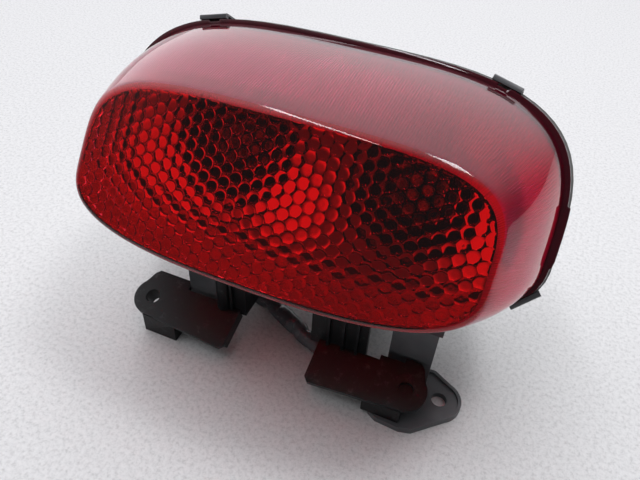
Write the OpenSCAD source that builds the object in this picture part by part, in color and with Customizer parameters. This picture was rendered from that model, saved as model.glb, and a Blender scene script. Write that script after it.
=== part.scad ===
// Motorcycle tail light: red lens on a grey housing, two bulb sockets that
// twist out of the back, and two black bracket legs with a charcoal stay.
// X runs across the lamp, the lens faces -Y, +Z is up, the part stands on Z = 0.

/* [Lens face] */
// Height of the face centre above the ground
face_h = 97; // [96:0.5:100]
// Half of the face width
face_half_w = 82.7; // [80:0.1:84]
// Face height above its centre line
face_top = 38.7; // [37:0.1:40]
// Face height below its centre line
face_bottom = 26; // [24:0.1:27]
// Lean of the face back from upright
face_tilt = 37.7; // [36:0.1:39]
// Drop of the domed face per square millimetre of width
face_sag = 0.0009; // [0.0005:0.0001:0.0012]
// Wall of the lens
lens_wall = 2; // [1.8:0.1:3]
// Outward swell of the lens band at its middle
band_swell = 2.6; // [1:0.1:3]

/* [Rim] */
// Half of the rim width
rim_half_w = 105; // [103:0.5:107]
// Rim height above its centre line
rim_top = 70; // [68:0.5:71]
// Rim height below its centre line
rim_bottom = 35.3; // [34.5:0.1:36]
// Lean of the rim plane back from upright
rim_tilt = 35.9; // [35:0.1:37]
// Distance of the rim centre behind the face centre
rim_back = 53.8; // [53:0.1:55]
// Distance of the rim centre below the face centre
rim_drop = 27; // [26:0.5:28]
// Thickness of the seal between lens and housing
seal_t = 1.2; // [1:0.1:1.4]

/* [Housing] */
// Depth of the housing behind the rim plane
housing_depth = 42; // [40:1:44]
// Wall of the housing
housing_wall = 2.5; // [2:0.1:3]
// Size of the housing back as a share of the rim
housing_taper = 0.86; // [0.84:0.01:0.9]

/* [Bulbs and sockets] */
// Distance of each bulb from the middle
bulb_x = 44; // [42:0.5:46]
// Height of each bulb above the rim centre line
bulb_u = 14; // [12:0.5:16]
// Radius of the socket hole in the housing
socket_hole_r = 14; // [13.5:0.5:14.5]
// Radius of the bulb glass
glass_r = 12.5; // [11:0.5:13]
// Radius of the bulb cap
cap_r = 7.5; // [7:0.1:7.8]

/* [Brackets] */
// Distance of each bracket hole from the middle
hole_x = 64; // [63:0.5:65]
// Distance of the bracket holes behind the face centre
hole_back = 11.4; // [11:0.1:12]
// Distance of the bracket holes below the face centre
hole_drop = 81.2; // [80.5:0.1:82]
// Forward slope of the bracket plates
plate_tilt = 19; // [17:0.5:21]
// Thickness of the bracket plates
plate_t = 3; // [2.5:0.1:3.5]
// Radius of the bracket and stay holes
hole_r = 3.5; // [3.2:0.1:3.6]
// Radius of the round plate ends
plate_end_r = 9.4; // [9:0.1:10]

/* [Harness] */
// Diameter of the vinyl harness sleeve
sleeve_d = 9; // [8:0.5:9.5]
// Diameter of each socket lead
lead_d = 4.4; // [4:0.1:5]

/* [Hidden] */

$fn = 64;
face_y = -53.8;
steps = 72;

// Outline exponents: the top corners are tighter than the bottom ones
face_top_n = 4.3;
face_bottom_n = 2.9;
rim_top_n = 3.5;
rim_bottom_n = 2.45;

// Place of the seam between lens and housing, and the steps of the lens flange
flange_inset = 1.4;
flange_depth = 5;
band_inset = 3.6;
seal_inset = 4.4;
seal_w = 4;

// Socket lengths, measured behind the rim plane
wall_out = housing_depth;
wall_in = housing_depth - housing_wall;
socket_seal_t = 1.6;
socket_flange_t = 3;
socket_back = wall_out + 18;
socket_front = wall_in - 10;
neck_r = socket_hole_r - 0.05;
socket_bore_r = cap_r + 0.4;
cap_back = wall_out + 8;
cap_front = cap_back - 18;
glass_front = cap_back - 51;
pin_y = cap_front + 6;

// Plate outline, in the plane of the plate from the hole centre
plate_inner = hole_x - 20.4;
plate_front = 11.5;
plate_rear = 9;
step_rear = 13.6;
step_in = 15;

// ---- outlines -------------------------------------------------------------

function power(v, e) = sign(v) * pow(abs(v), e);

// Point of an outline with its own exponent above and below the centre line
function outline_point(a, half_w, top, bottom, top_n, bottom_n) =
    let (n = sin(a) >= 0 ? top_n : bottom_n, h = sin(a) >= 0 ? top : bottom)
    [half_w * power(cos(a), 2 / n), h * power(sin(a), 2 / n)];

function face_point(a, inset = 0) =
    outline_point(a, face_half_w - inset, face_top - inset, face_bottom - inset,
        face_top_n, face_bottom_n);

function rim_point(a, inset = 0) =
    outline_point(a, rim_half_w - inset, rim_top - inset, rim_bottom - inset,
        rim_top_n, rim_bottom_n);

function ring_angles() = [for (i = [0:steps - 1]) i * 360 / steps + 180 / steps];

function rim_outline(inset = 0, share = 1) =
    [for (a = ring_angles()) rim_point(a, inset) * share];

// Space point of a place on the domed face, at a share of the outline
function on_face(p, deep = 0) =
    let (back = face_sag * p[0] * p[0] + deep)
    [p[0],
     face_y + p[1] * sin(face_tilt) + back * cos(face_tilt),
     face_h + p[1] * cos(face_tilt) - back * sin(face_tilt)];

// Space point of a place in the rim plane, at a depth behind it
function on_rim(p, deep = 0) =
    [p[0],
     face_y + rim_back + p[1] * sin(rim_tilt) + deep * cos(rim_tilt),
     face_h - rim_drop + p[1] * cos(rim_tilt) - deep * sin(rim_tilt)];

// Ring between the face edge and the band foot, at share t, pushed outward
function band_ring(t, inset, face_deep, foot_deep) = [for (a = ring_angles())
    let (swell = (band_swell * sin(180 * t)) * [cos(a), sin(a)],
         f = on_face(face_point(a, inset), face_deep),
         r = on_rim(rim_point(a, band_inset + inset), foot_deep),
         m = f * (1 - t) + r * t)
    m + [swell[0], swell[1] * sin(rim_tilt), swell[1] * cos(rim_tilt)]];

function face_ring(share, inset, deep) =
    [for (a = ring_angles()) on_face(face_point(a, inset) * share, deep)];

function flange_ring(inset, deep) =
    [for (a = ring_angles()) on_rim(rim_point(a, inset), deep)];

// Solid through a list of equal rings, closed at both ends with fans
module loft(rings) {
    count = len(rings);
    n = len(rings[0]);
    points = [for (r = rings) each r];
    sides = [for (k = [0:count - 2]) for (i = [0:n - 1]) let (j = (i + 1) % n)
        each [[k * n + i, k * n + j, (k + 1) * n + j],
              [k * n + i, (k + 1) * n + j, (k + 1) * n + i]]];
    first = [for (i = [1:n - 2]) [0, i + 1, i]];
    last = [for (i = [1:n - 2]) let (b = (count - 1) * n) [b, b + i, b + i + 1]];
    polyhedron(points = points, faces = concat(sides, first, last), convexity = 8);
}

// Solid ring through a closed list of equal rings
module loop_loft(rings) {
    count = len(rings);
    n = len(rings[0]);
    points = [for (r = rings) each r];
    sides = [for (k = [0:count - 1]) for (i = [0:n - 1])
        let (j = (i + 1) % n, m = (k + 1) % count)
        each [[k * n + i, k * n + j, m * n + j], [k * n + i, m * n + j, m * n + i]]];
    polyhedron(points = points, faces = sides, convexity = 8);
}

// Frame of the rim: +Y points straight back through the lamp, +Z up its slope
module in_rim(x = 0, u = 0) {
    translate([0, face_y + rim_back, face_h - rim_drop])
        rotate([-rim_tilt, 0, 0])
            translate([x, 0, u])
                children();
}

// Solid of revolution about the lamp's own axis, from radius and depth pairs
module turned(profile) {
    rotate([-90, 0, 0])
        rotate_extrude()
            polygon(profile);
}

module rod(r, from, to) {
    turned([[0, from], [r, from], [r, to], [0, to]]);
}

module tube(inner, outer, from, to) {
    turned([[inner, from], [outer, from], [outer, to], [inner, to]]);
}

// ---- lens and seal --------------------------------------------------------

// One skin from the middle of the inner face, round the rim, to the middle of the outer face
module lens() {
    cavity = band_inset + lens_wall;
    color([0.62, 0.03, 0.04])
        loft(concat(
            [for (s = [0.1, 0.3, 0.6, 0.97]) face_ring(s, lens_wall, lens_wall)],
            [for (t = [0.1, 0.35, 0.65]) band_ring(t, lens_wall, lens_wall, -flange_depth)],
            [flange_ring(cavity, -flange_depth), flange_ring(cavity, 0),
             flange_ring(flange_inset, 0), flange_ring(flange_inset, -flange_depth),
             flange_ring(band_inset, -flange_depth)],
            [for (t = [0.8, 0.6, 0.4, 0.2, 0.06]) band_ring(t, 0, 0, -flange_depth)],
            [for (s = [0.985, 0.8, 0.6, 0.35, 0.12]) face_ring(s, 0, 0)]));
}

module lens_seal() {
    outer = seal_inset;
    inner = seal_inset + seal_w;
    color("dimgray")
        loop_loft([flange_ring(inner, 0.02), flange_ring(inner, seal_t - 0.02),
            flange_ring(outer, seal_t - 0.02), flange_ring(outer, 0.02)]);
}

// ---- housing --------------------------------------------------------------

// Ring of the housing wall at a depth, at a share of the rim outline
function back_ring(share, deep, inset = 0) =
    [for (a = ring_angles()) on_rim(rim_point(a, inset) * share, deep)];

// Bosses under the housing: across the lamp and behind the rim plane
leg_bosses = [[-25.5, 10], [-25.5, 26], [30, 10], [30, 26]];
stay_bosses = [[-41.5, 9], [58, 9]];
boss_r = 5;
boss_h = 10;
boss_u = -36.5;
screw_r = 2;

module each_boss(places) {
    for (p = places)
        in_rim(p[0], boss_u)
            translate([0, p[1], 0])
                children();
}

module housing() {
    mid = (1 + housing_taper) / 2;
    color([0.55, 0.55, 0.56])
        difference() {
            union() {
                difference() {
                    loft([flange_ring(0, seal_t), flange_ring(0, 4.5), flange_ring(2.4, 4.5),
                        back_ring(mid + 0.03, wall_out / 2), back_ring(housing_taper + 0.03, wall_out - 4),
                        back_ring(housing_taper, wall_out)]);
                    loft([flange_ring(9, 0), flange_ring(9, 5),
                        back_ring(mid + 0.03, wall_out / 2, 4), back_ring(housing_taper, wall_in, 4)]);
                }
                each_boss(concat(leg_bosses, stay_bosses))
                    cylinder(r = boss_r, h = boss_h);
            }
            each_boss(concat(leg_bosses, stay_bosses))
                translate([0, 0, -1])
                    cylinder(r = screw_r, h = boss_h);
            for (side = [-1, 1])
                in_rim(side * bulb_x, bulb_u) {
                    rod(socket_hole_r, wall_in - 1, wall_out + 1);
                    socket_lugs(16.6, wall_in - 1, wall_out + 1, 30);
                }
            in_rim(0, 34)
                rod(4, wall_in - 1, wall_out + 1);
        }
}

module vent_cap() {
    color([0.12, 0.12, 0.12])
        in_rim(0, 34) {
            rod(3.95, wall_in - 1.5, wall_out);
            rod(6.5, wall_out, wall_out + 3);
        }
}

// ---- reflectors -----------------------------------------------------------

bowl_back = wall_in - 4;
bowl_front = 6;
bowl_r = 30;

module reflector_panel() {
    color([0.8, 0.8, 0.8])
        difference() {
            in_rim()
                translate([0, bowl_front, 0])
                    rotate([90, 0, 0])
                        linear_extrude(1.5)
                            polygon(rim_outline(9.05));
            for (side = [-1, 1])
                in_rim(side * bulb_x, bulb_u)
                    rod(bowl_r, 0, 12);
        }
}

// Bowl that opens like a parabola from the socket to the panel
function bowl_radius(t) = 16 + (bowl_r - 16.1) * sqrt(t);

module reflector_bowl(side) {
    color([0.85, 0.85, 0.85])
        in_rim(side * bulb_x, bulb_u)
            turned(concat(
                [for (i = [0:8]) [bowl_radius(i / 8), bowl_back + (bowl_front - bowl_back) * i / 8]],
                [for (i = [8:-1:0])
                    [bowl_radius(i / 8) - 1.2, bowl_back + (bowl_front - bowl_back) * i / 8]]));
}

module left_reflector_bowl() {
    reflector_bowl(-1);
}

module right_reflector_bowl() {
    reflector_bowl(1);
}

// ---- lens clips -----------------------------------------------------------

clip_angles = [63, 117, -22, 202];
clip_w = 13;

module lens_clips() {
    section = [[-4.8, -1.35], [-4.8, 0.4], [-3.4, 1], [5.8, 1], [5.8, -2.3], [4.55, -2.3],
        [4.55, 0.05], [-2, 0.05], [-2, -1.35]];
    color([0.2, 0.2, 0.21])
        for (a = clip_angles) {
            p = rim_point(a);
            along = rim_point(a + 1) - rim_point(a - 1);
            in_rim(p[0], p[1])
                rotate([0, -atan2(along[1], along[0]) - 180, 0])
                    translate([-clip_w / 2, 0, 0])
                        rotate([90, 0, 90])
                            linear_extrude(clip_w)
                                polygon(section);
        }
}

// ---- brackets -------------------------------------------------------------

// Frame of a bracket plate at its hole: +Y points up the slope of the plate
module in_plate(side) {
    translate([side * hole_x, face_y + hole_back, face_h - hole_drop])
        rotate([plate_tilt, 0, 0])
            mirror([side < 0 ? 1 : 0, 0, 0])
                children();
}

module plate_outline() {
    circle(r = plate_end_r);
    polygon([[0, -9.4], [2 - plate_inner, -plate_front - 0.6], [-plate_inner, 1.6 - plate_front],
        [-plate_inner, plate_rear], [-step_in, plate_rear], [-step_in, step_rear],
        [3, step_rear], [5, 11.5], [7.2, 6]]);
}

// Box that is drawn from its lowest corner to its highest corner
module block(low, high) {
    translate(low)
        cube(high - low);
}

// Place measured from the face centre, as all bracket sizes are
function from_face(p) = p + [0, face_y, face_h];

module face_block(low, high) {
    block(from_face(low), from_face(high));
}

// Side wall profile pushed across the lamp, from x0 to x1
module side_profile(x0, x1, points) {
    translate([x0, face_y, face_h])
        rotate([90, 0, 90])
            linear_extrude(x1 - x0)
                polygon(points);
}

// Height of the sloped underside at a distance behind the face, at a depth below the bosses
function slope_z(y, below = 0) =
    let (u = boss_u - below, w = (y - rim_back - u * sin(rim_tilt)) / cos(rim_tilt))
    u * cos(rim_tilt) - w * sin(rim_tilt) - rim_drop;

leg_front = 19.5;
leg_base = -81.5;
leg_wall = 2.2;
leg_top_t = 3;
boss_box_in = 16.5;
boss_box_front = 2.6;
leg_window_x = 33;
leg_window_step = 0.4;
ear_top = -94;

module leg(x0, x1, foot, rear) {
    difference() {
        side_profile(x0, x1, foot
            ? [[leg_front, slope_z(leg_front)], [rear, slope_z(rear)], [rear, -face_h],
               [60, -face_h], [58, leg_base], [leg_front, leg_base]]
            : [[leg_front, slope_z(leg_front)], [rear, slope_z(rear)], [rear, leg_base],
               [leg_front, leg_base]]);
        side_profile(x0 + leg_wall, x1 - leg_wall,
            [[leg_front + leg_wall, slope_z(leg_front + leg_wall, leg_top_t)],
             [rear - leg_wall, slope_z(rear - leg_wall, leg_top_t)],
             [rear - leg_wall, -face_h - 1], [leg_front + leg_wall, -face_h - 1]]);
    }
}

// Plate with its step, end boss and inner skirt
module plate(side) {
    difference() {
        union() {
            in_plate(side) {
                translate([0, 0, -plate_t])
                    linear_extrude(plate_t)
                        plate_outline();
                translate([0, 0, -plate_t - 7])
                    cylinder(r = hole_r + 2, h = 7.5);
                block([-plate_inner, -9, -plate_t - 4], [2 - plate_inner, 8, -plate_t + 0.5]);
            }
            difference() {
                boss_box(side, 0, 0);
                boss_box(side, 2, 2);
                in_plate(side)
                    block([-60, -40, -1.5], [30, 40, 60]);
            }
        }
        in_plate(side)
            translate([0, 0, -plate_t - 20])
                cylinder(r = hole_r, h = 40);
    }
}

// Box under the plate end, shrunk by a wall and left open below
module boss_box(side, wall, below) {
    base = side < 0 ? -face_h : ear_top + 0.1;
    mirror([side < 0 ? 1 : 0, 0, 0])
        face_block([hole_x - boss_box_in + wall, boss_box_front + wall, base - below],
            [hole_x + 0.8 - wall, 11 - wall, -78]);
}

module leg_holes(places) {
    each_boss(places)
        translate([0, 0, -8])
            cylinder(r = screw_r + 0.1, h = 10);
}

module left_bracket() {
    color([0.1, 0.1, 0.1])
        difference() {
            union() {
                plate(-1);
                leg(-33, -17.5, false, 58);
                translate(from_face([-29, leg_front, leg_base + 1]))
                    cylinder(r = 3.4, h = 30);
                face_block([-24.8, leg_front - 2, leg_base + 3], [-23.6, leg_front + 1, -52]);
            }
            leg_holes([leg_bosses[0], leg_bosses[1]]);
        }
}

// Opening in the outer side of the right leg, behind its front wall and under its top
module leg_window(front, below) {
    side_profile(leg_window_x, 60,
        [[front, slope_z(front, below)], [90, slope_z(90, below)], [90, -face_h - 2],
         [front, -face_h - 2]]);
}

module right_bracket() {
    color([0.1, 0.1, 0.1])
        difference() {
            union() {
                plate(1);
                leg(16, 42.5, true, 76);
                for (x = [24, 31, 37.5])
                    face_block([x, leg_front - 2, leg_base + 3], [x + 1.2, leg_front + 1, -52]);
            }
            leg_holes([leg_bosses[2], leg_bosses[3]]);
            leg_window(leg_front + leg_wall + leg_window_step, leg_top_t + leg_window_step);
        }
}

// Head and shank of each screw, driven up into its boss
module screws(places) {
    color([0.7, 0.7, 0.72])
        each_boss(places) {
            translate([0, 0, -leg_top_t - 2.4])
                cylinder(r = 4, h = 2.4);
            translate([0, 0, -leg_top_t - 0.5])
                cylinder(r = screw_r - 0.02, h = 11);
        }
}

module bracket_screws() {
    screws(leg_bosses);
}

module stay_screws() {
    screws(stay_bosses);
}

// ---- stays ----------------------------------------------------------------

web_front = 21.9;
right_web_front = 25.4;
web_t = 2.5;
ear_x = 78.6;
ear_y = 21.9;
ear_r = 10;
ear_lip = 1.2;

module ear_outline() {
    translate([ear_x, ear_y])
        circle(r = ear_r);
    polygon([[ear_x, ear_y], [84.6, 29.9], [73.5, 36], [52, 36], [49.5, 30], [49.5, 7],
        [51, 3.6], [55, 1.3], [66.2, 0.6], [71.4, 2], [86.2, 15.4]]);
}

// Sloped flange under the housing between two places across the lamp
module stay_flange(x0, x1) {
    in_rim()
        block([x0, -12, boss_u - leg_top_t], [x1, 14, boss_u]);
}

module right_stay() {
    color([0.25, 0.25, 0.27])
        difference() {
            union() {
                translate(from_face([0, 0, -face_h]))
                    linear_extrude(face_h + ear_top)
                        ear_outline();
                translate(from_face([0, 0, ear_top - 0.5]))
                    linear_extrude(ear_lip)
                        difference() {
                            intersection() {
                                ear_outline();
                                translate([66, -5])
                                    square([40, 60]);
                            }
                            offset(delta = -1.5)
                                ear_outline();
                        }
                face_block([51.5, right_web_front, ear_top - 1], [71, right_web_front + web_t, -54]);
                stay_flange(44.2, 72.5);
            }
            translate(from_face([ear_x, ear_y, -face_h - 1]))
                cylinder(r = hole_r, h = 6);
            leg_holes([stay_bosses[1]]);
        }
}

module left_stay() {
    color([0.25, 0.25, 0.27])
        difference() {
            union() {
                face_block([-49, web_front, -face_h], [-34.4, web_front + web_t, -52]);
                side_profile(-49, -46.5,
                    [[web_front, slope_z(web_front, 1)], [76, slope_z(76, 1)], [76, -face_h],
                     [60, -face_h], [58, leg_base], [30, leg_base], [27, -face_h],
                     [web_front, -face_h]]);
                face_block([-48, 62, -face_h], [-36, 75, -face_h + 3]);
                stay_flange(-49, -34);
            }
            leg_holes([stay_bosses[0]]);
        }
}

module right_nut_insert() {
    color([0.15, 0.15, 0.15])
        in_plate(1) {
            translate([0, 0, -plate_t - 9])
                cylinder(r = hole_r - 0.02, h = 9.5);
        }
}

// ---- bulbs and sockets ----------------------------------------------------

lug_angles = [90, 210, 330];

// Three lugs around the socket, or the notches that let them through
module socket_lugs(r, from, to, span) {
    rotate([-90, 0, 0])
        for (a = lug_angles)
            rotate([0, 0, a - span / 2])
                translate([0, 0, from])
                    rotate_extrude(angle = span)
                        translate([socket_hole_r - 2, 0])
                            square([r - socket_hole_r + 2, to - from]);
}

module socket(side) {
    barrel_r = 13;
    slot_r = cap_r + 1.7;
    color([0.08, 0.08, 0.08])
        in_rim(side * bulb_x, bulb_u)
            difference() {
                union() {
                    rod(neck_r, socket_front, wall_out + socket_seal_t + 0.5);
                    rod(socket_hole_r + 5, wall_out + socket_seal_t,
                        wall_out + socket_seal_t + socket_flange_t);
                    rod(barrel_r, wall_out + socket_seal_t + 2, socket_back);
                    rotate([0, 45, 0])
                        socket_lugs(16, wall_in - 3.2, wall_in - 0.3, 24);
                    for (a = [0:60:300])
                        rotate([0, a, 0])
                            block([barrel_r - 1, wall_out + 5, -1.2], [barrel_r + 1.8, socket_back - 3, 1.2]);
                }
                rod(socket_bore_r, socket_front - 1, socket_back - 2.5);
                for (half = [0, 180])
                    rotate([0, half, 0])
                        bayonet_slot(slot_r);
            }
}

// Entry slot and turning slot of one bayonet pin, which rests at its +X end
module bayonet_slot(r) {
    slot_in = 5;
    rotate([-90, 0, 0]) {
        rotate([0, 0, 4])
            translate([0, 0, socket_front - 1])
                rotate_extrude(angle = 24)
                    translate([slot_in, 0])
                        square([r - slot_in, pin_y - socket_front + 1]);
        rotate([0, 0, -10])
            translate([0, 0, pin_y - 1.4])
                rotate_extrude(angle = 40)
                    translate([slot_in, 0])
                        square([r - slot_in + 0.2, 2.8]);
    }
}

module socket_seal(side) {
    color([0.05, 0.05, 0.05])
        in_rim(side * bulb_x, bulb_u)
            tube(socket_hole_r + 0.1, socket_hole_r + 4.4, wall_out + 0.05,
                wall_out + socket_seal_t - 0.02);
}

module contact_plate(side) {
    color([0.5, 0.35, 0.2])
        in_rim(side * bulb_x, bulb_u)
            rod(socket_bore_r - 0.05, cap_back + 0.5, cap_back + 2.5);
}

module contact_spring(side) {
    color("silver")
        in_rim(side * bulb_x, bulb_u)
            tube(4.2, 5.6, cap_back + 2.5, socket_back - 2.5);
}

// Glass balloon: a ball at the front that narrows to the cap
module bulb_glass(side) {
    ball_y = glass_front + glass_r;
    outer = concat([for (a = [0:10:100]) [glass_r * sin(a), ball_y - glass_r * cos(a)]],
        [[cap_r - 0.6, cap_front - 4], [cap_r - 0.6, cap_front - 0.02]]);
    wall = 0.8;
    inner = concat([[cap_r - 0.6 - wall, cap_front - 0.02], [cap_r - 0.6 - wall, cap_front - 4]],
        [for (a = [100:-10:0]) [(glass_r - wall) * sin(a), ball_y - (glass_r - wall) * cos(a)]]);
    color([0.9, 0.9, 0.9, 0.5])
        in_rim(side * bulb_x, bulb_u)
            turned(concat(outer, inner));
}

module bulb_cap(side) {
    color([0.75, 0.65, 0.4])
        in_rim(side * bulb_x, bulb_u) {
            rod(cap_r, cap_front, cap_back - 2);
            rod(cap_r - 2, cap_back - 2.5, cap_back - 0.5);
            for (x = [-2.6, 2.6])
                translate([x, 0, 0])
                    rod(1.4, cap_back - 1, cap_back + 0.4);
            translate([-cap_r - 1, pin_y, 0])
                rotate([0, 90, 0])
                    cylinder(r = 1, h = 2 * cap_r + 2);
        }
}

module bulb_filaments(side) {
    color([0.6, 0.6, 0.62])
        in_rim(side * bulb_x, bulb_u) {
            for (x = [-3, 3])
                translate([x, 0, 0])
                    rod(0.4, cap_front - 20, cap_front - 0.02);
            for (y = [cap_front - 19, cap_front - 13])
                translate([-3.2, y, 0])
                    rotate([0, 90, 0])
                        cylinder(r = 0.7, h = 6.4);
        }
}

module left_socket() {
    socket(-1);
}

module right_socket() {
    socket(1);
}

module left_socket_seal() {
    socket_seal(-1);
}

module right_socket_seal() {
    socket_seal(1);
}

module left_contact_plate() {
    contact_plate(-1);
}

module right_contact_plate() {
    contact_plate(1);
}

module left_contact_spring() {
    contact_spring(-1);
}

module right_contact_spring() {
    contact_spring(1);
}

module left_bulb_glass() {
    bulb_glass(-1);
}

module right_bulb_glass() {
    bulb_glass(1);
}

module left_bulb_cap() {
    bulb_cap(-1);
}

module right_bulb_cap() {
    bulb_cap(1);
}

module left_bulb_filaments() {
    bulb_filaments(-1);
}

module right_bulb_filaments() {
    bulb_filaments(1);
}

// ---- harness --------------------------------------------------------------

function unit(v) = v / norm(v);

// Round tube along a route, one ring at each of its points
module swept_tube(route, r, sides) {
    last = len(route) - 1;
    loft([for (i = [0:last])
        let (d = unit(route[min(i + 1, last)] - route[max(i - 1, 0)]),
             s = unit(cross(d, abs(d[2]) > 0.9 ? [0, 1, 0] : [0, 0, 1])),
             u = cross(s, d))
        [for (k = [0:sides - 1]) let (a = k * 360 / sides)
            route[i] + r * (cos(a) * s + sin(a) * u)]]);
}

// Leads in the rim frame: across, behind the rim plane, up the slope
clip_x = 10;
clip_u = -12;
clip_drop = 8;
clip_y = wall_out + 7.5;
left_lead_route = [[-44, 60.2, 14], [-44, 65, 14], [-42, 69.5, 11], [-37, 72, 7], [-29, 72.5, 3],
    [-20, 71, 0], [-11, 68, -2], [-3, 64, -3], [3, 58.5, -4.5], [6.8, 52, -6.5],
    [7.4, 49.5, -10], [7.4, 49.5, -11.95]];
right_lead_route = [[44, 60.2, 14], [44, 65, 14], [42, 69, 11], [37, 70, 6], [30, 68.5, 2],
    [23, 64.5, -1], [17, 58.5, -4], [13.2, 52, -6.5],
    [12.6, 49.5, -10], [12.6, 49.5, -11.95]];

// Sleeve from the clip behind the lamp to the connector under the right plate
sleeve_route = [[10, 28.28, 24.65], [10, 24.29, 19.14], [9.2, 21, 13.4], [6, 18.6, 8.6],
    [0, 18, 5.6], [-7.5, 19, 4.6], [-15, 20.2, 4.6], [-22.5, 18.8, 4.6], [-28.5, 14, 4.6],
    [-31.8, 7, 4.6], [-31.8, -0.8, 4.6], [-27.8, -7.6, 4.6], [-20.8, -11.4, 4.6],
    [-12.5, -14, 4.6], [-4.8, -17.8, 4.6], [2.4, -21.6, 4.6], [9.6, -25, 4.6],
    [17, -27.9, 4.6], [25, -30.7, 4.6]];

module left_lead() {
    color([0.1, 0.1, 0.1])
        swept_tube([for (p = left_lead_route) on_rim([p[0], p[2]], p[1])], lead_d / 2, 8);
}

module right_lead() {
    color([0.1, 0.1, 0.1])
        swept_tube([for (p = right_lead_route) on_rim([p[0], p[2]], p[1])], lead_d / 2, 8);
}

module harness_clip() {
    color([0.06, 0.06, 0.06])
        in_rim(clip_x, clip_u - clip_drop) {
            translate([0, clip_y, 0])
                cylinder(r = 6.5, h = clip_drop);
            block([-4, wall_out, 1], [4, clip_y, clip_drop - 1]);
        }
}

module harness_sleeve() {
    color([0.17, 0.17, 0.18])
        swept_tube(sleeve_route, sleeve_d / 2, 12);
}

connector_l = 21;
connector_turn = -19.3;

module in_connector() {
    translate(sleeve_route[len(sleeve_route) - 1])
        rotate([0, 0, connector_turn])
            children();
}

module connector() {
    color([0.85, 0.83, 0.78])
        in_connector()
            difference() {
                union() {
                    block([0, -6, -4.2], [connector_l, 6, 4.2]);
                    block([4, -2.5, 4], [14, 2.5, 5.6]);
                }
                for (y = [-3.4, 0, 3.4])
                    block([8, y - 1.2, -1.6], [connector_l + 1, y + 1.2, 1.6]);
            }
}

module connector_terminals() {
    color([0.8, 0.7, 0.4])
        in_connector()
            for (y = [-3.4, 0, 3.4])
                block([8.02, y - 0.9, -0.4], [connector_l - 2, y + 0.9, 0.4]);
}

lens();
lens_seal();
housing();
reflector_panel();
left_reflector_bowl();
right_reflector_bowl();
lens_clips();
left_bracket();
right_bracket();
left_stay();
right_stay();
bracket_screws();
stay_screws();
right_nut_insert();
vent_cap();
left_socket();
left_socket_seal();
left_contact_plate();
left_contact_spring();
left_bulb_glass();
left_bulb_cap();
left_bulb_filaments();
right_socket();
right_socket_seal();
right_contact_plate();
right_contact_spring();
right_bulb_glass();
right_bulb_cap();
right_bulb_filaments();
left_lead();
right_lead();
harness_clip();
harness_sleeve();
connector();
connector_terminals();
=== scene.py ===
"""Looks of the motorcycle tail light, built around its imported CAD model.

Lengths are in metres, apart from the sizes in the lens section, which are in millimetres.
"""

import math

import bmesh
import bpy
import numpy as np
from mathutils import Matrix, Vector
from mathutils.geometry import delaunay_2d_cdt


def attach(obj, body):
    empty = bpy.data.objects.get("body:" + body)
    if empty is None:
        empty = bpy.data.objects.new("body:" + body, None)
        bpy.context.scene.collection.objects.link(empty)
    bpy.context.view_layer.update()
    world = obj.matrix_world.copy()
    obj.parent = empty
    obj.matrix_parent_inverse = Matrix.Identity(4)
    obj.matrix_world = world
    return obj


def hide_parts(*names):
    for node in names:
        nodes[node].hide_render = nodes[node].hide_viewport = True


MM = 0.001
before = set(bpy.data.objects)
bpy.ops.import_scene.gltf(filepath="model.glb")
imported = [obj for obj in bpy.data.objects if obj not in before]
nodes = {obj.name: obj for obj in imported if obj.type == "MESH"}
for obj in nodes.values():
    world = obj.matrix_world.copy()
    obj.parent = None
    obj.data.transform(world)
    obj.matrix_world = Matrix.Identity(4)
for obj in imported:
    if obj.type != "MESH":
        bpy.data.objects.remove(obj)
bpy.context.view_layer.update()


# ---- camera ----------------------------------------------------------------

CAMERA_PLACE = Vector((0.0765, -0.1970, 0.2362))
CAMERA_AZIMUTH = math.radians(20.04)
CAMERA_ELEVATION = math.radians(42.35)
CAMERA_ROLL = math.radians(3.91)
CAMERA_LENS, CAMERA_SENSOR = 33.73, 36


def make_camera():
    across, rise = CAMERA_AZIMUTH, CAMERA_ELEVATION
    back = Vector((math.sin(across) * math.cos(rise), -math.cos(across) * math.cos(rise), math.sin(rise)))
    level = Vector((math.cos(across), math.sin(across), 0))
    upright = back.cross(level)
    right = math.cos(CAMERA_ROLL) * level + math.sin(CAMERA_ROLL) * upright
    up = math.cos(CAMERA_ROLL) * upright - math.sin(CAMERA_ROLL) * level
    data = bpy.data.cameras.new("camera")
    data.lens = CAMERA_LENS
    data.sensor_width = CAMERA_SENSOR
    data.clip_start = 0.01
    camera = bpy.data.objects.new("camera", data)
    bpy.context.scene.collection.objects.link(camera)
    camera.matrix_world = Matrix((right, up, back)).transposed().to_4x4()
    camera.location = CAMERA_PLACE
    bpy.context.scene.camera = camera


make_camera()


# ---- materials -------------------------------------------------------------


def add_fade(tree, value, span, levels):
    """Smooth step of a value over a span, between two levels."""
    fade = tree.nodes.new("ShaderNodeMapRange")
    fade.interpolation_type = "SMOOTHSTEP"
    for socket, number in zip(("From Min", "From Max", "To Min", "To Max"), (*span, *levels)):
        fade.inputs[socket].default_value = number
    tree.links.new(value, fade.inputs["Value"])
    return fade.outputs["Result"]


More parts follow.
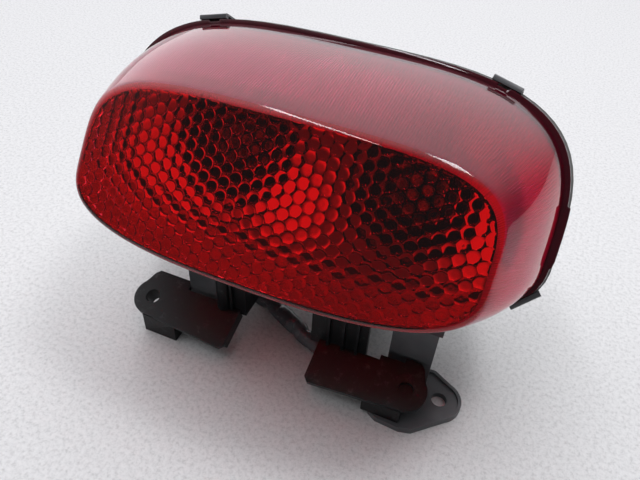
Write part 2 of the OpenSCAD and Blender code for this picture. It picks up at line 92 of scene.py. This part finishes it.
class Shader:
    """A node material around one Principled shader."""

    def __init__(self, name, colour, roughness, **fixed):
        self.material = bpy.data.materials.new(name)
        self.material.use_nodes = True
        self.tree = self.material.node_tree
        self.shader = self.tree.nodes["Principled BSDF"]
        self.set("Base Color", (*colour, 1))
        self.set("Roughness", roughness)
        for socket, value in fixed.items():
            self.set(socket.replace("_", " "), value)
        self.place = self.node("ShaderNodeTexCoord").outputs["Object"]

    def set(self, socket, value):
        self.shader.inputs[socket].default_value = value

    def node(self, kind, **values):
        made = self.tree.nodes.new(kind)
        for name, value in values.items():
            setattr(made, name, value)
        return made

    def link(self, a, b):
        self.tree.links.new(a, b)

    def noise(self, scale, detail=4.0, roughness=0.55):
        """Noise over the object, with scale in features per metre."""
        noise = self.node("ShaderNodeTexNoise")
        noise.inputs["Scale"].default_value = scale
        noise.inputs["Detail"].default_value = detail
        noise.inputs["Roughness"].default_value = roughness
        self.link(self.place, noise.inputs["Vector"])
        return noise.outputs["Fac"]

    def ramp(self, factor, stops):
        """Colour ramp from (place, value) or (place, colour) stops."""
        ramp = self.node("ShaderNodeValToRGB")
        elements = ramp.color_ramp.elements
        while len(elements) < len(stops):
            elements.new(0.5)
        for element, (place, value) in zip(elements, stops):
            element.position = place
            element.color = (*value, 1) if isinstance(value, tuple) else (value, value, value, 1)
        self.link(factor, ramp.inputs["Fac"])
        return ramp.outputs["Color"]

    def fade(self, value, span, levels):
        return add_fade(self.tree, value, span, levels)

    def colour(self, factor, stops):
        self.link(self.ramp(factor, stops), self.shader.inputs["Base Color"])

    def rough(self, factor, stops):
        self.link(self.ramp(factor, stops), self.shader.inputs["Roughness"])

    def bump(self, factor, distance):
        bump = self.node("ShaderNodeBump")
        bump.inputs["Distance"].default_value = distance
        bump.inputs["Strength"].default_value = 1.0
        self.link(factor, bump.inputs["Height"])
        self.link(bump.outputs["Normal"], self.shader.inputs["Normal"])


GRAIN = 0.00004
SATIN_SPREAD = 0.04
METAL_GRAIN = 0.00002
METAL_SHADE = 0.72


def satin_grain(made, rough):
    """Satin patches and the fine grain of a mould."""
    made.rough(made.noise(140, 6), [(0.3, rough - SATIN_SPREAD), (0.7, rough + SATIN_SPREAD)])
    made.bump(made.noise(2600, 2), GRAIN)


def moulded(name, dark, light, rough):
    """Moulded plastic of a faintly cloudy colour."""
    made = Shader(name, dark, rough)
    made.colour(made.noise(60), [(0.35, dark), (0.7, light)])
    satin_grain(made, rough)
    return made.material


def metal(name, colour, rough):
    made = Shader(name, colour, rough, Metallic=1.0)
    darker = tuple(c * METAL_SHADE for c in colour)
    made.colour(made.noise(90), [(0.3, darker), (0.65, colour)])
    made.rough(made.noise(500), [(0.3, rough * 0.6), (0.7, rough * 1.5)])
    made.bump(made.noise(1800, 3), METAL_GRAIN)
    return made.material


def lens_material(name, colour):
    """Clear red acrylic, with faint dust that makes the shine uneven."""
    made = Shader(name, colour, 0.03, Transmission_Weight=1.0, IOR=1.49)
    made.rough(made.noise(45, 6), [(0.35, 0.02), (0.75, 0.07)])
    made.bump(made.noise(400, 3), 0.000004)
    return made.material


def rim_material():
    """The same acrylic where it is thick, so that it looks like dark plum."""
    made = Shader("lens_rim", (0.09, 0.003, 0.012), 0.06, Transmission_Weight=0.5, IOR=1.49)
    made.colour(made.noise(70), [(0.3, (0.07, 0.002, 0.01)), (0.7, (0.12, 0.004, 0.016))])
    return made.material


def flute_material():
    """The fluted inside of the band, which is a little cloudy and catches light."""
    made = Shader("lens_flutes", (0.79, 0.035, 0.175), 0.2, Transmission_Weight=0.6, IOR=1.3)
    made.colour(made.noise(50), [(0.3, (0.74, 0.03, 0.16)), (0.7, (0.84, 0.04, 0.19))])
    return made.material


# Middle and radius of each painted glow, a pool of painted light on the panel, and the share of its radius
# that is fully bright
PAINTED_PANEL_GLOWS = [
    ((-0.012, 0.002, 0.063), 0.026),
    ((-0.078, -0.01, 0.047), 0.055),
    ((0.086, 0.011, 0.077), 0.042),
]
PAINTED_GLOW_CORE = 0.4
PAINTED_GLOW_STRENGTH = 0.34


def painted_glow_share(made, middle, radius):
    """1 in the core of a painted glow, falling to 0 at its radius."""
    away = made.node("ShaderNodeVectorMath", operation="DISTANCE")
    away.inputs[1].default_value = middle
    made.link(made.place, away.inputs[0])
    return made.fade(away.outputs["Value"], (PAINTED_GLOW_CORE * radius, radius), (1.0, 0.0))


def panel_painted_glow_material():
    """Satin panel with painted light: brighter colour and a faint red glow at set spots, though it is no lamp.
    """
    made = Shader("reflector_panel", (0.9, 0.9, 0.9), 0.4)
    shares = [painted_glow_share(made, middle, radius) for middle, radius in PAINTED_PANEL_GLOWS]
    total = shares[0]
    for share in shares[1:]:
        larger = made.node("ShaderNodeMath", operation="MAXIMUM")
        made.link(total, larger.inputs[0])
        made.link(share, larger.inputs[1])
        total = larger.outputs["Value"]
    # Painted light: base colour near white in the glows and dark grey between them, and a faint red emission
    # in the glows
    made.colour(total, [(0.0, 0.25), (1.0, 0.95)])
    made.link(made.ramp(total, [(0.0, 0.0), (1.0, (1.0, 0.3, 0.2))]), made.shader.inputs["Emission Color"])
    made.set("Emission Strength", PAINTED_GLOW_STRENGTH)
    made.rough(made.noise(140, 6), [(0.3, 0.35), (0.7, 0.45)])
    return made.material


def glass_material():
    made = Shader("bulb_glass", (0.95, 0.95, 0.95), 0.02, Transmission_Weight=1.0, IOR=1.45)
    made.rough(made.noise(80, 4), [(0.4, 0.01), (0.8, 0.06)])
    return made.material


def bracket_material():
    """Black nylon with a satin sheen and pale scuffs."""
    black, scuff, rough = (0.008, 0.008, 0.009), (0.05, 0.05, 0.052), 0.36
    made = Shader("bracket_black", black, rough, Specular_IOR_Level=0.25)
    made.colour(made.noise(150, 10, roughness=0.8), [(0.55, black), (0.68, scuff)])
    satin_grain(made, rough)
    return made.material


LENS_RED = lens_material("lens_red", (0.97, 0.012, 0.02))
LENS_BAND = lens_material("lens_band", (0.88, 0.08, 0.26))
LENS_RIM = rim_material()
LENS_FLUTES = flute_material()
BULB_GLASS = glass_material()
BRACKET_BLACK = bracket_material()
STAY_CHARCOAL = moulded("stay_charcoal", (0.075, 0.077, 0.082), (0.11, 0.112, 0.118), 0.42)
CLIP_DARK = moulded("clip_dark", (0.05, 0.05, 0.055), (0.075, 0.075, 0.08), 0.4)
HOUSING_GREY = moulded("housing_grey", (0.22, 0.22, 0.21), (0.25, 0.25, 0.24), 0.48)
RUBBER_BLACK = moulded("rubber_black", (0.018, 0.018, 0.018), (0.03, 0.03, 0.03), 0.62)
WIRE_BLACK = moulded("wire_black", (0.016, 0.016, 0.017), (0.026, 0.026, 0.027), 0.42)
SLEEVE_VINYL = moulded("vinyl_sleeve", (0.07, 0.07, 0.077), (0.11, 0.11, 0.12), 0.27)
CONNECTOR_WHITE = moulded("connector_white", (0.62, 0.6, 0.54), (0.7, 0.68, 0.62), 0.42)
SOCKET_BLACK = moulded("socket_black", (0.016, 0.016, 0.016), (0.028, 0.028, 0.028), 0.4)
BOARD_BROWN = moulded("contact_board", (0.2, 0.1, 0.045), (0.28, 0.15, 0.07), 0.55)
REFLECTOR = metal("reflector", (0.3, 0.3, 0.3), 0.1)
PANEL_PAINTED_GLOW = panel_painted_glow_material()
SCREW_STEEL = metal("screw_steel", (0.62, 0.62, 0.6), 0.3)
SPRING_STEEL = metal("spring_steel", (0.66, 0.66, 0.66), 0.25)
BRASS = metal("brass_contact", (0.75, 0.6, 0.33), 0.25)

NODE_MATERIALS = {
    "lens": LENS_RED, "lens_seal": RUBBER_BLACK, "housing": HOUSING_GREY,
    "reflector_panel": PANEL_PAINTED_GLOW, "left_reflector_bowl": REFLECTOR, "right_reflector_bowl": REFLECTOR,
    "lens_clips": CLIP_DARK, "left_bracket": BRACKET_BLACK, "right_bracket": BRACKET_BLACK,
    "left_stay": STAY_CHARCOAL, "right_stay": STAY_CHARCOAL, "bracket_screws": SCREW_STEEL,
    "stay_screws": SCREW_STEEL, "right_nut_insert": BRACKET_BLACK, "vent_cap": RUBBER_BLACK,
    "left_lead": WIRE_BLACK, "right_lead": WIRE_BLACK, "harness_clip": RUBBER_BLACK,
    "harness_sleeve": SLEEVE_VINYL, "connector": CONNECTOR_WHITE, "connector_terminals": BRASS,
}
for side in ("left", "right"):
    NODE_MATERIALS.update({
        side + "_socket": SOCKET_BLACK, side + "_socket_seal": RUBBER_BLACK,
        side + "_contact_plate": BOARD_BROWN, side + "_contact_spring": SPRING_STEEL,
        side + "_bulb_glass": BULB_GLASS, side + "_bulb_cap": BRASS,
        side + "_bulb_filaments": SPRING_STEEL,
    })

for name, material in NODE_MATERIALS.items():
    slots = nodes[name].material_slots
    if not slots:
        nodes[name].data.materials.append(material)
    for slot in slots:
        slot.material = material


# ---- mesh helpers ----------------------------------------------------------


def add_piece(name, vertices, faces, material, body, smooth):
    """Mesh piece that rides on a body, smooth except at edges sharper than an angle in degrees."""
    mesh = bpy.data.meshes.new(name)
    mesh.from_pydata([tuple(v) for v in vertices], [], [tuple(f) for f in faces])
    return finish_piece(name, mesh, material, body, smooth)


def finish_piece(name, mesh, material, body, smooth):
    mesh.validate()
    made = bmesh.new()
    made.from_mesh(mesh)
    bmesh.ops.recalc_face_normals(made, faces=made.faces)
    sharp = math.radians(smooth)
    for face in made.faces:
        face.smooth = True
    for edge in made.edges:
        edge.smooth = len(edge.link_faces) == 2 and edge.calc_face_angle(0) < sharp
    made.to_mesh(mesh)
    made.free()
    mesh.materials.clear()
    mesh.materials.append(material)
    piece = bpy.data.objects.new(name, mesh)
    bpy.context.scene.collection.objects.link(piece)
    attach(piece, body)
    return piece


WELD = 0.000005
FLAT_ANGLE, HARD_ANGLE = math.radians(0.4), math.radians(32)
SOFT_SMOOTH = 35


def softened(node, body, width):
    """Stands for a CAD node with its hard edges rounded off."""
    made = bmesh.new()
    made.from_mesh(nodes[node].data)
    bmesh.ops.remove_doubles(made, verts=made.verts, dist=WELD)
    bmesh.ops.dissolve_limit(made, angle_limit=FLAT_ANGLE, verts=made.verts, edges=made.edges)
    edges = [e for e in made.edges if len(e.link_faces) == 2 and e.calc_face_angle(0) > HARD_ANGLE]
    bmesh.ops.bevel(made, geom=edges, offset=width, offset_type="OFFSET", segments=2,
                    profile=0.6, clamp_overlap=True)
    mesh = bpy.data.meshes.new(node + "_soft")
    made.to_mesh(mesh)
    made.free()
    piece = finish_piece(node + "_soft", mesh, NODE_MATERIALS[node], body, SOFT_SMOOTH)
    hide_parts(node)
    return piece


# ---- harness ---------------------------------------------------------------

SLEEVE_ROUTE = [
    (0.010, 0.02828, 0.02465), (0.010, 0.02429, 0.01914), (0.0092, 0.021, 0.0134), (0.006, 0.0186, 0.0086),
    (0.0, 0.018, 0.0056), (-0.0075, 0.019, 0.0046), (-0.015, 0.0202, 0.0046), (-0.0225, 0.0188, 0.0046),
    (-0.0285, 0.014, 0.0046), (-0.0318, 0.007, 0.0046), (-0.0318, -0.0008, 0.0046),
    (-0.0278, -0.0076, 0.0046), (-0.0208, -0.0114, 0.0046), (-0.0125, -0.014, 0.0046),
    (-0.0048, -0.0178, 0.0046), (0.0024, -0.0216, 0.0046), (0.0096, -0.025, 0.0046),
    (0.017, -0.0279, 0.0046), (0.025, -0.0307, 0.0046),
]
SLEEVE_RADIUS = 0.0045
ROUTE_STEPS, SLEEVE_SIDES = 16, 28
# Folds along the sleeve: count, depth as a share of the radius, width, slant and turn of each from the last
FOLDS, FOLD_DEPTH, FOLD_LIMIT = 22, 0.5, 0.42
FOLD_WIDTH, FOLD_SLANT, FOLD_TURN = 0.011, 0.008, 2.4


def smooth_route(points, per_span):
    """Catmull-Rom curve through the points."""
    p = np.array(points)
    p = np.vstack([2 * p[0] - p[1], p, 2 * p[-1] - p[-2]])
    out = []
    for i in range(1, len(p) - 2):
        for t in np.arange(per_span) / per_span:
            a, b, c, d = p[i - 1:i + 3]
            out.append(0.5 * (2 * b + (c - a) * t + (2 * a - 5 * b + 4 * c - d) * t * t
                              + (3 * b - a - 3 * c + d) * t ** 3))
    out.append(p[-2])
    return np.array(out)


def route_frames(route):
    """Side and upper vectors at each point of a route."""
    along = np.gradient(route, axis=0)
    along /= np.linalg.norm(along, axis=1)[:, None]
    up = np.array([0.0, 0.0, 1.0])
    if abs(along[0] @ up) > 0.9:
        up = np.array([0.0, 1.0, 0.0])
    sides, uppers = [], []
    for direction in along:
        side = np.cross(direction, up)
        side /= np.linalg.norm(side)
        up = np.cross(side, direction)
        sides.append(side)
        uppers.append(up)
    return np.array(sides), np.array(uppers)


def tube_mesh(route, radius_at, sides):
    """Closed tube, where radius_at(share of the way, angles) gives each ring's radii."""
    side, upper = route_frames(route)
    angles = np.arange(sides) * 2 * math.pi / sides
    rings = []
    for i, centre in enumerate(route):
        radii = radius_at(i / (len(route) - 1), angles)[:, None]
        spokes = np.cos(angles)[:, None] * side[i] + np.sin(angles)[:, None] * upper[i]
        rings.append(centre + radii * spokes)
    vertices = np.vstack(rings)
    faces = []
    for k in range(len(rings) - 1):
        low, high = k * sides, (k + 1) * sides
        for i in range(sides):
            j = (i + 1) % sides
            faces.append((low + i, low + j, high + j, high + i))
    faces.append(tuple(range(sides)))
    faces.append(tuple(range(len(vertices) - sides, len(vertices))))
    return vertices, faces


def wrinkled_radius(share, angles):
    """Vinyl tubing that has collapsed into soft folds, each across one side of it."""
    dent = np.zeros(len(angles))
    for fold in range(FOLDS):
        turned = angles - fold * FOLD_TURN
        side = np.clip(np.cos(turned), 0, 1) ** 1.5
        away = np.abs(share - (fold + 0.5) / FOLDS + FOLD_SLANT * np.sin(turned))
        uneven = 0.7 + 0.3 * math.cos(fold * 1.7)
        dent += FOLD_DEPTH * uneven * side * np.exp(-away / FOLD_WIDTH)
    return SLEEVE_RADIUS * (1 - np.clip(dent, 0, FOLD_LIMIT))


def make_harness():
    route = smooth_route(SLEEVE_ROUTE, ROUTE_STEPS)
    tube = tube_mesh(route, wrinkled_radius, SLEEVE_SIDES)
    sleeve = add_piece("sleeve_tube", *tube, SLEEVE_VINYL, "lamp", 60)
    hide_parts("harness_sleeve")
    shell = softened("connector", "lamp", 0.0003)


make_harness()


# ---- floor and light -------------------------------------------------------


FLOOR_HALF, FLOOR_BACK = 1.4, 0.3


def make_floor():
    corners = [(FLOOR_HALF * x, FLOOR_BACK + FLOOR_HALF * y, 0)
               for x, y in ((-1, -1), (1, -1), (1, 1), (-1, 1))]
    mesh = bpy.data.meshes.new("floor")
    mesh.from_pydata(corners, [], [(0, 1, 2, 3)])
    floor = bpy.data.objects.new("floor", mesh)
    bpy.context.scene.collection.objects.link(floor)
    made = Shader("floor_pale", (0.8, 0.8, 0.8), 0.55)
    made.colour(made.noise(520, 8, roughness=0.8), [(0.36, (0.52, 0.52, 0.515)), (0.5, (0.7, 0.7, 0.695)),
                                                    (0.62, (0.76, 0.76, 0.755))])
    mesh.materials.append(made.material)


def area_light(name, place, target, size, power, colour):
    data = bpy.data.lights.new(name, "AREA")
    data.shape = "RECTANGLE"
    data.size, data.size_y = size
    data.energy = power
    data.color = colour
    light = bpy.data.objects.new(name, data)
    bpy.context.scene.collection.objects.link(light)
    light.location = place
    light.rotation_euler = (Vector(target) - Vector(place)).to_track_quat("-Z", "Y").to_euler()


# Direction of the brightest sky, the cosines between which it fades, and its strengths
SKY_CENTRE = (-0.46, 0.7, 0.55)
SKY_SPAN = (0.1, 0.95)
SKY_DIM, SKY_BRIGHT = 0.12, 1.85


def make_world():
    """A room that is bright up behind the lamp and fades to dim in front of it."""
    world = bpy.data.worlds.new("world")
    world.use_nodes = True
    tree = world.node_tree
    background = tree.nodes["Background"]
    background.inputs["Color"].default_value = (0.96, 0.96, 1.0, 1)
    direction = tree.nodes.new("ShaderNodeTexCoord")
    towards = tree.nodes.new("ShaderNodeVectorMath")
    towards.operation = "DOT_PRODUCT"
    towards.inputs[1].default_value = SKY_CENTRE
    tree.links.new(direction.outputs["Generated"], towards.inputs[0])
    fade = add_fade(tree, towards.outputs["Value"], SKY_SPAN, (SKY_DIM, SKY_BRIGHT))
    tree.links.new(fade, background.inputs["Strength"])
    bpy.context.scene.world = world
    bpy.context.scene.view_settings.view_transform = "Standard"


def make_lights():
    area_light("window_light", (0.33, 0.3, 1.2), (0, 0, 0.05), (0.3, 0.3), 3.6, (0.97, 0.97, 1.0))
    area_light("strip_light", (-0.3, -0.12, 1.2), (0, 0, 0.1), (1.2, 0.06), 3, (0.95, 0.95, 1.0))


make_floor()
make_world()
make_lights()


# ---- lens ------------------------------------------------------------------

# Sizes of the lens in millimetres, as the CAD model has them
FACE_Y, FACE_H = -53.8, 97.0
FACE = dict(half=82.7, top=38.7, bottom=26.0, top_n=4.3, bottom_n=2.9)
RIM = dict(half=105.0, top=70.0, bottom=35.3, top_n=3.5, bottom_n=2.45)
FACE_TILT, RIM_TILT = math.radians(37.7), math.radians(35.9)
FACE_SAG = 0.0009
RIM_BACK, RIM_DROP = 53.8, 27.0
LENS_WALL = 2.0
FLANGE_INSET, FLANGE_DEPTH, BAND_INSET = 1.4, 5.0, 3.6

# The band swells a little less than in the CAD model, to stay inside its box
BAND_SWELL = 2.3

# Flutes inside the band, which fade out near its foot
FLUTES, FLUTE_STEPS, FLUTE_DEPTH = 420, 4, 0.22
FLUTE_END, FLUTE_FADE = 0.9, 12

# Ridge between face and band: where it leaves the face and meets the band, its rings, and those in face colour
EDGE_START, EDGE_END, EDGE_STEPS, EDGE_CLEAR = 2.6, 0.05, 9, 6
INNER_EDGE = 1.9

# Shares of the way from face to foot at which the band has a ring, outside and inside
OUTER_RINGS = (EDGE_END, 0.1, 0.2, 0.32, 0.45, 0.58, 0.7, 0.82, 0.92, 1.0)
INNER_RINGS = (0.88, 0.8, 0.65, 0.5, 0.35, 0.2, 0.08)

# Honeycomb inside the face: pitch, mesh steps over a cell's radius, height, and the mesh spacing outside
HEX_PITCH, HEX_STEPS, PILLOW = 4.8, 5, 0.66
HEX_RADIUS = HEX_PITCH / math.sqrt(3)
FACE_SPACING = 3.0

# Bare margin between an edge ring and the mesh points inside it, on the outer and on the inner face
OUTER_MARGIN, INNER_MARGIN = 1.4, 0.5

# Tabs and clip notches of the flange: angles in degrees, half width, slope and depth
TAB_ANGLES, TAB_HALF, TAB_SLOPE, TAB_OUT = (4.7, 175.3), 4.8, 0.5, 1.1
NOTCH_ANGLES, NOTCH_HALF, NOTCH_SLOPE, NOTCH_IN = (63, 117, -22, 202), 1.9, 0.3, 0.9


def signed_power(v, e):
    return np.sign(v) * np.abs(v) ** e


def outline(a, shape, inset=0.0):
    """Points across and up of a superellipse that has its own exponent below its centre line."""
    c, s = np.cos(a), np.sin(a)
    n = np.where(s >= 0, shape["top_n"], shape["bottom_n"])
    h = np.where(s >= 0, shape["top"], shape["bottom"]) - inset
    return np.stack([(shape["half"] - inset) * signed_power(c, 2 / n), h * signed_power(s, 2 / n)], 1)


def leaned(p, back, tilt, y, z):
    """Space points of flat ones on a plane that leans back by a tilt, each set back by its own depth."""
    return MM * np.stack([p[:, 0], y + p[:, 1] * math.sin(tilt) + back * math.cos(tilt),
                          z + p[:, 1] * math.cos(tilt) - back * math.sin(tilt)], 1)


def on_face(p, deep=0.0):
    return leaned(p, FACE_SAG * p[:, 0] ** 2 + deep, FACE_TILT, FACE_Y, FACE_H)


def on_rim(p, deep=0.0):
    return leaned(p, deep, RIM_TILT, FACE_Y + RIM_BACK, FACE_H - RIM_DROP)


def even_angles(count):
    """Outline angles whose points are evenly spaced round the middle of the band."""
    samples = 40001
    a = np.linspace(0, 2 * math.pi, samples)
    p = outline(a, FACE) + outline(a, RIM)
    way = np.concatenate([[0], np.cumsum(np.linalg.norm(np.diff(p, axis=0), axis=1))])
    return np.interp(np.arange(count) / count * way[-1], way, a)


def band_ring(a, t, inset, face_deep, foot_deep, push=0.0):
    """Ring of the band at a share of the way from face to foot, swollen and pushed outwards."""
    swell = (BAND_SWELL * math.sin(math.pi * t) + push) * MM
    out = np.stack([np.cos(a), np.sin(a) * math.sin(RIM_TILT), np.sin(a) * math.cos(RIM_TILT)], 1)
    face = on_face(outline(a, FACE, inset), face_deep)
    foot = on_rim(outline(a, RIM, BAND_INSET + inset), foot_deep)
    return face * (1 - t) + foot * t + out * (swell[:, None] if np.ndim(swell) else swell)


def rounded(start, corner, end, steps):
    """Rings of a fillet that leaves start towards corner and arrives at end."""
    return [start * (1 - t) ** 2 + corner * 2 * t * (1 - t) + end * t * t
            for t in np.arange(1, steps) / steps]


def hex_lattice(spacing, half_w, low, high):
    """Triangular lattice of points, with a row through the origin."""
    rows = spacing * math.sqrt(3) / 2
    points = []
    for j in range(math.ceil(low / rows), math.floor(high / rows) + 1):
        shift = spacing / 2 if j % 2 else 0
        for i in range(-int(half_w / spacing) - 1, int(half_w / spacing) + 2):
            points.append((i * spacing + shift, j * rows))
    return np.array(points)


def inside(points, shape, inset):
    """Which points lie inside a superellipse outline."""
    n = np.where(points[:, 1] >= 0, shape["top_n"], shape["bottom_n"])
    h = np.where(points[:, 1] >= 0, shape["top"], shape["bottom"]) - inset
    return (np.abs(points[:, 0]) / (shape["half"] - inset)) ** n + (np.abs(points[:, 1]) / h) ** n < 1


def pillow_height(points):
    """Height of a honeycomb of pillows with flat tops, each one pitch from its neighbour above."""
    column = HEX_PITCH * math.sqrt(3) / 2
    best = np.full(len(points), np.inf)
    near = np.round(points[:, 0] / column)
    for step in (-1, 0, 1):
        c = near + step
        shift = (c % 2) * HEX_PITCH / 2
        u = np.round((points[:, 1] - shift) / HEX_PITCH) * HEX_PITCH + shift
        best = np.minimum(best, (points[:, 0] - c * column) ** 2 + (points[:, 1] - u) ** 2)
    return PILLOW * (1 - (best / HEX_RADIUS ** 2) ** 2)


def filled_face(edge, spacing, inset):
    """Points and triangles inside an edge ring, the input point of each, and the length of the ring."""
    grid = hex_lattice(spacing, FACE["half"], -FACE["bottom"], FACE["top"])
    grid = grid[inside(grid, FACE, inset)]
    count = len(edge)
    points = [Vector(p) for p in np.vstack([edge, grid])]
    ring = [(i, (i + 1) % count) for i in range(count)]
    found, _, faces, origin, _, _ = delaunay_2d_cdt(points, ring, [list(range(count))], 1, 1e-7)
    return np.array([tuple(v) for v in found]), faces, [o[0] if o else -1 for o in origin], count


class Skin:
    """Collects rings and faces of one closed mesh."""

    def __init__(self):
        self.vertices, self.faces, self.count = [], [], 0

    def add(self, points):
        first = self.count
        self.vertices.append(points)
        self.count += len(points)
        return first

    def join(self, a, b, n):
        self.faces += [(a + i, a + (i + 1) % n, b + (i + 1) % n, b + i) for i in range(n)]

    def cap(self, ring, edge, spacing, inset, raise_points):
        """Fills a ring with a fine face; raise_points turns flat points into space points."""
        flat, faces, origin, n = filled_face(edge, spacing, inset)
        own = [i for i, o in enumerate(origin) if not 0 <= o < n]
        first = self.add(raise_points(flat[own]))
        place = {i: first + k for k, i in enumerate(own)}
        place.update({i: ring + o for i, o in enumerate(origin) if 0 <= o < n})
        self.faces += [tuple(place[i] for i in face) for face in faces]


def bump_at(a, centre, half, slope):
    """1 near an outline angle in degrees, falling to 0 beyond its half width."""
    away = np.abs((np.degrees(a) - centre + 180) % 360 - 180)
    return np.clip((half - away) / slope + 0.5, 0, 1)


def flange_inset(a):
    """Edge of the lens flange: proud at the two side tabs, cut back where the clips grip it."""
    inset = np.full(len(a), FLANGE_INSET)
    for centre in TAB_ANGLES:
        inset = inset - TAB_OUT * bump_at(a, centre, TAB_HALF, TAB_SLOPE)
    for centre in NOTCH_ANGLES:
        inset = inset + NOTCH_IN * bump_at(a, centre, NOTCH_HALF, NOTCH_SLOPE)
    return inset


def rim_ring(a, inset, deep):
    return on_rim(outline(a, RIM, inset), deep)


def outer_rings(a):
    """From the ridge of the face, round its fillet and down the band to its foot."""
    edge = on_face(outline(a, FACE))
    face_start = on_face(outline(a, FACE, EDGE_START))
    fillet = rounded(face_start, edge, band_ring(a, EDGE_END, 0, 0, -FLANGE_DEPTH), EDGE_STEPS)
    return [face_start] + fillet + [band_ring(a, t, 0, 0, -FLANGE_DEPTH) for t in OUTER_RINGS]


def flange_rings(a):
    """Round the edge of the flange, from its front to its back."""
    proud = flange_inset(a)
    front = [(1, -FLANGE_DEPTH), (0.2, 0.2 - FLANGE_DEPTH), (0, 1 - FLANGE_DEPTH)]
    back = [(0, -0.8), (0.3, -0.1), (1, 0)]
    return [rim_ring(a, proud + inset, deep) for inset, deep in front + back]


def inner_rings(a):
    """Up the fluted inside of the band to the edge of the inner face."""
    flute = FLUTE_DEPTH * np.cos(np.arange(len(a)) * 2 * math.pi / FLUTE_STEPS)
    cavity = BAND_INSET + LENS_WALL
    foot = [rim_ring(a, cavity, 0), rim_ring(a, cavity, -FLANGE_DEPTH)]
    band = [band_ring(a, t, LENS_WALL, LENS_WALL, -FLANGE_DEPTH, flute * min(1, (FLUTE_END - t) * FLUTE_FADE))
            for t in INNER_RINGS]
    return foot + band + [on_face(outline(a, FACE, INNER_EDGE), LENS_WALL)]


def paint(piece, faces, material):
    """Gives a range of a piece's faces another material."""
    piece.data.materials.append(material)
    for face in piece.data.polygons[faces]:
        face.material_index = len(piece.data.materials) - 1


def make_lens():
    n = FLUTES * FLUTE_STEPS
    a = even_angles(n)
    outer, flange, inner = outer_rings(a), flange_rings(a), inner_rings(a)
    skin = Skin()
    rings = [skin.add(ring) for ring in outer + flange + inner]
    for first, second in zip(rings, rings[1:]):
        skin.join(first, second, n)
    skin.cap(rings[0], outline(a, FACE, EDGE_START), FACE_SPACING, EDGE_START + OUTER_MARGIN, on_face)
    skin.cap(rings[-1], outline(a, FACE, INNER_EDGE), HEX_RADIUS / HEX_STEPS, INNER_EDGE + INNER_MARGIN,
             lambda p: on_face(p, LENS_WALL + pillow_height(p)))
    lens = add_piece("lens_shell", np.vstack(skin.vertices), skin.faces, LENS_RED, "lamp", 50)
    flange_start, flange_end = (len(outer) - 2) * n, (len(outer) + len(flange)) * n
    paint(lens, slice(flange_start, flange_end), LENS_RIM)
    paint(lens, slice(flange_end + n, (len(rings) - 1) * n), LENS_FLUTES)
    paint(lens, slice(EDGE_CLEAR * n, flange_start), LENS_BAND)
    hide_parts("lens")


make_lens()


# ---- softened CAD parts ----------------------------------------------------

LAMP_EDGES = {
    "left_bracket": 0.0005, "right_bracket": 0.0005, "left_stay": 0.0005, "right_stay": 0.0005,
    "lens_clips": 0.0003, "harness_clip": 0.0006, "vent_cap": 0.0005, "bracket_screws": 0.0003,
    "stay_screws": 0.0003, "housing": 0.0006,
}
SOCKET_EDGE, CAP_EDGE = 0.0003, 0.0002

for node, width in LAMP_EDGES.items():
    softened(node, "lamp", width)
for side in ("left", "right"):
    softened(side + "_socket", side + "_socket_body", SOCKET_EDGE)
    softened(side + "_socket_seal", side + "_socket_body", SOCKET_EDGE)
    softened(side + "_bulb_cap", side + "_bulb_body", CAP_EDGE)
